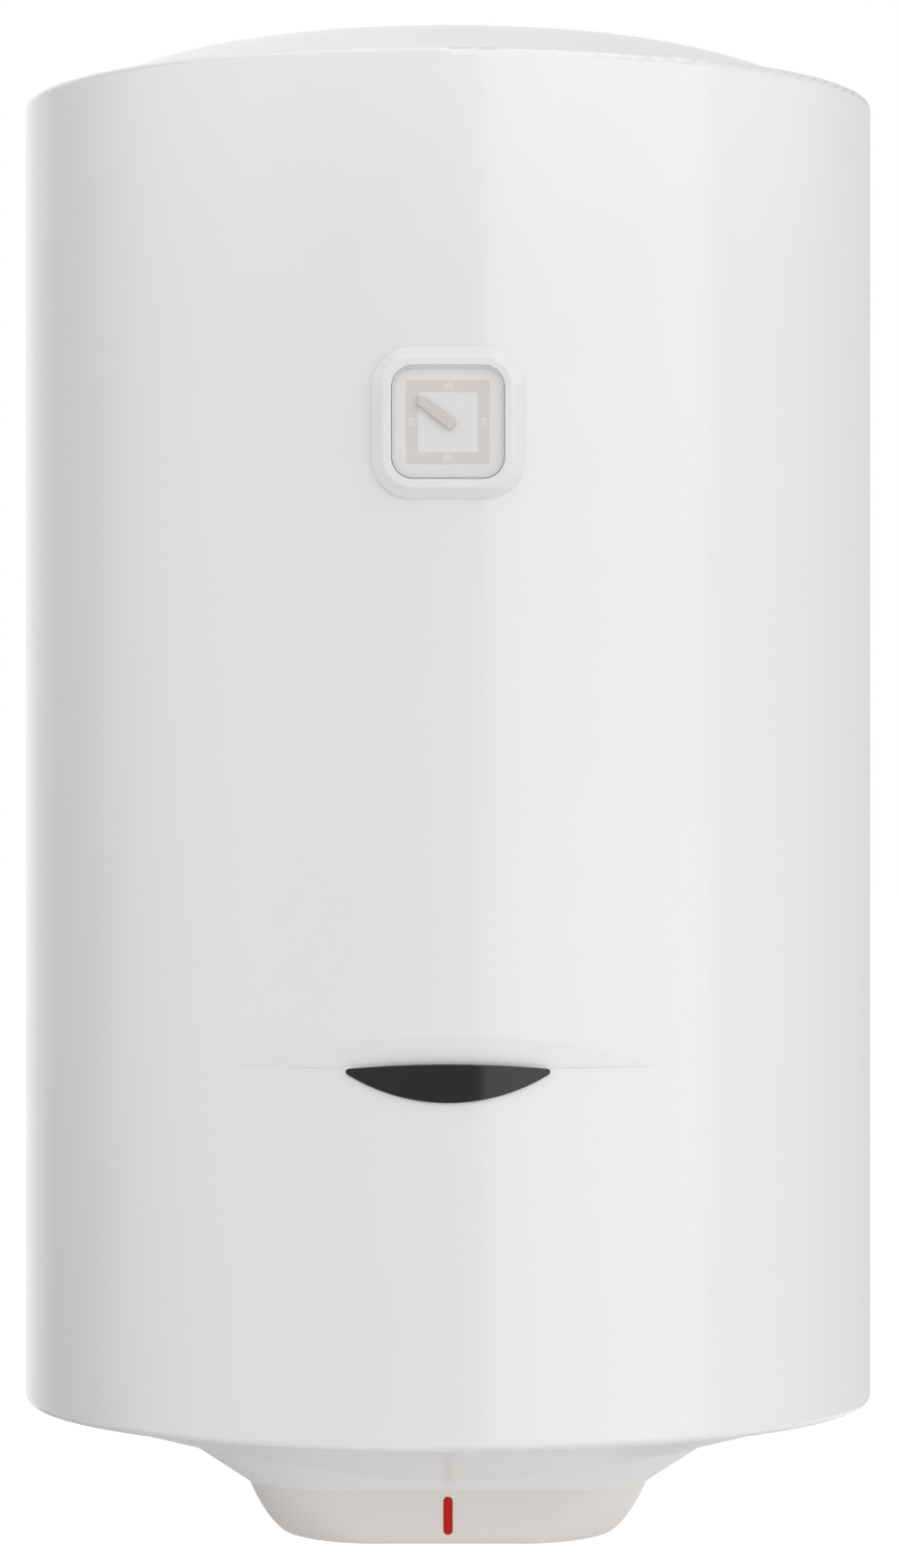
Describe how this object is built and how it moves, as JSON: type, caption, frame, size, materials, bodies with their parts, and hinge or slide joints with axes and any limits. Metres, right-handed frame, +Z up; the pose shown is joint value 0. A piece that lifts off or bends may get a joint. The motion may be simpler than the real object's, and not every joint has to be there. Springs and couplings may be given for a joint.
{
  "type": "storage water heater",
  "caption": "Wall-hung electric storage water heater: tall white cylinder with a domed lid, a square temperature gauge, a curved badge and a tapered electrical cover underneath.",
  "frame": {"origin": "on the wall plane, midway between the two hook slots of the wall bracket", "axes": "+Y into the wall, +Z up along the tank's axis, the front with the gauge faces -Y"},
  "size_m": [0.45, 0.487, 0.7842],
  "materials": {
    "white_paint": "gloss white baked paint",
    "white_plastic": "satin white moulding",
    "cover_beige": "fine satin moulding",
    "black_gloss": "polished black",
    "bezel_white": "gloss white moulding",
    "clear_lens": "clear moulding",
    "dial_face": "printed plate",
    "needle_beige": "satin moulding",
    "housing_dark": "satin black moulding",
    "bimetal": "rolled strip",
    "copper": "bare copper",
    "tank_steel": "enamelled steel",
    "foam": "cut foam",
    "gasket_rubber": "moulded rubber",
    "plated_steel": "zinc plated",
    "sheath": "drawn stainless tube",
    "magnesium": "extruded magnesium",
    "porcelain": "glazed insulator",
    "thermostat_dark": "satin black moulding",
    "knob_grey": "satin moulding",
    "red_plastic": "gloss moulding",
    "blue_plastic": "gloss moulding",
    "red_lens": "translucent red",
    "lamp_glass": "neon lamp glass",
    "lead_sheath": "silicone sleeve",
    "spacer_grey": "textured moulding",
    "galvanised": "painted plate"
  },
  "bodies": {
    "heater": {"casing_shell": "white_paint", "top_cover": "white_paint", "badge_plate": "black_gloss", "bottom_cover": "white_plastic", "electrical_cover": "cover_beige", "cover_screws": "plated_steel", "pilot_lens": "red_lens", "pilot_lamp": "lamp_glass", "pilot_lamp_holder": "porcelain", "cord_grommet": "gasket_rubber", "gauge_bezel": "bezel_white", "gauge_housing": "housing_dark", "gauge_dial": "dial_face", "gauge_lens": "clear_lens", "bimetal_coil": "bimetal", "gauge_sensor": "copper", "tank_barrel": "tank_steel", "tank_upper_head": "tank_steel", "tank_lower_head": "tank_steel", "insulation_foam": "foam", "flange_neck": "tank_steel", "flange_gasket": "gasket_rubber", "flange_plate": "plated_steel", "flange_bolts": "plated_steel", "heating_element": "sheath", "element_terminals": "porcelain", "anode_rod": "magnesium", "anode_nut": "plated_steel", "thermostat_pocket": "sheath", "thermostat_rod": "copper", "thermostat_body": "thermostat_dark", "terminal_block": "porcelain", "element_leads": "lead_sheath", "lamp_leads": "lead_sheath", "cold_inlet_pipe": "plated_steel", "hot_outlet_pipe": "plated_steel", "hot_standpipe": "sheath", "inlet_diffuser": "spacer_grey", "cold_collar": "blue_plastic", "hot_collar": "red_plastic", "wall_bracket": "galvanised", "lower_spacer": "spacer_grey", "spacer_screw": "plated_steel"},
    "needle": {"gauge_needle": "needle_beige", "gauge_arbor": "plated_steel"},
    "knob": {"temperature_knob": "knob_grey", "thermostat_spindle": "plated_steel"},
    "reset": {"reset_button": "red_plastic"}
  },
  "joints": [
    {"name": "needle_turn", "type": "hinge", "parent": "heater", "child": "needle", "pos_m": [0, -0.48, -0.0563], "axis": [0, 1, 0], "range_deg": [-82, 210], "stiffness_Nm_per_rad": 0.001},
    {"name": "knob_turn", "type": "hinge", "parent": "heater", "child": "knob", "pos_m": [0, -0.251, -0.62], "axis": [0, 0, -1], "range_deg": [0, 270]},
    {"name": "reset_press", "type": "slide", "parent": "heater", "child": "reset", "axis": [0, 0, 1], "range_m": [0, 0.0018], "stiffness_N_per_m": 400}
  ]
}
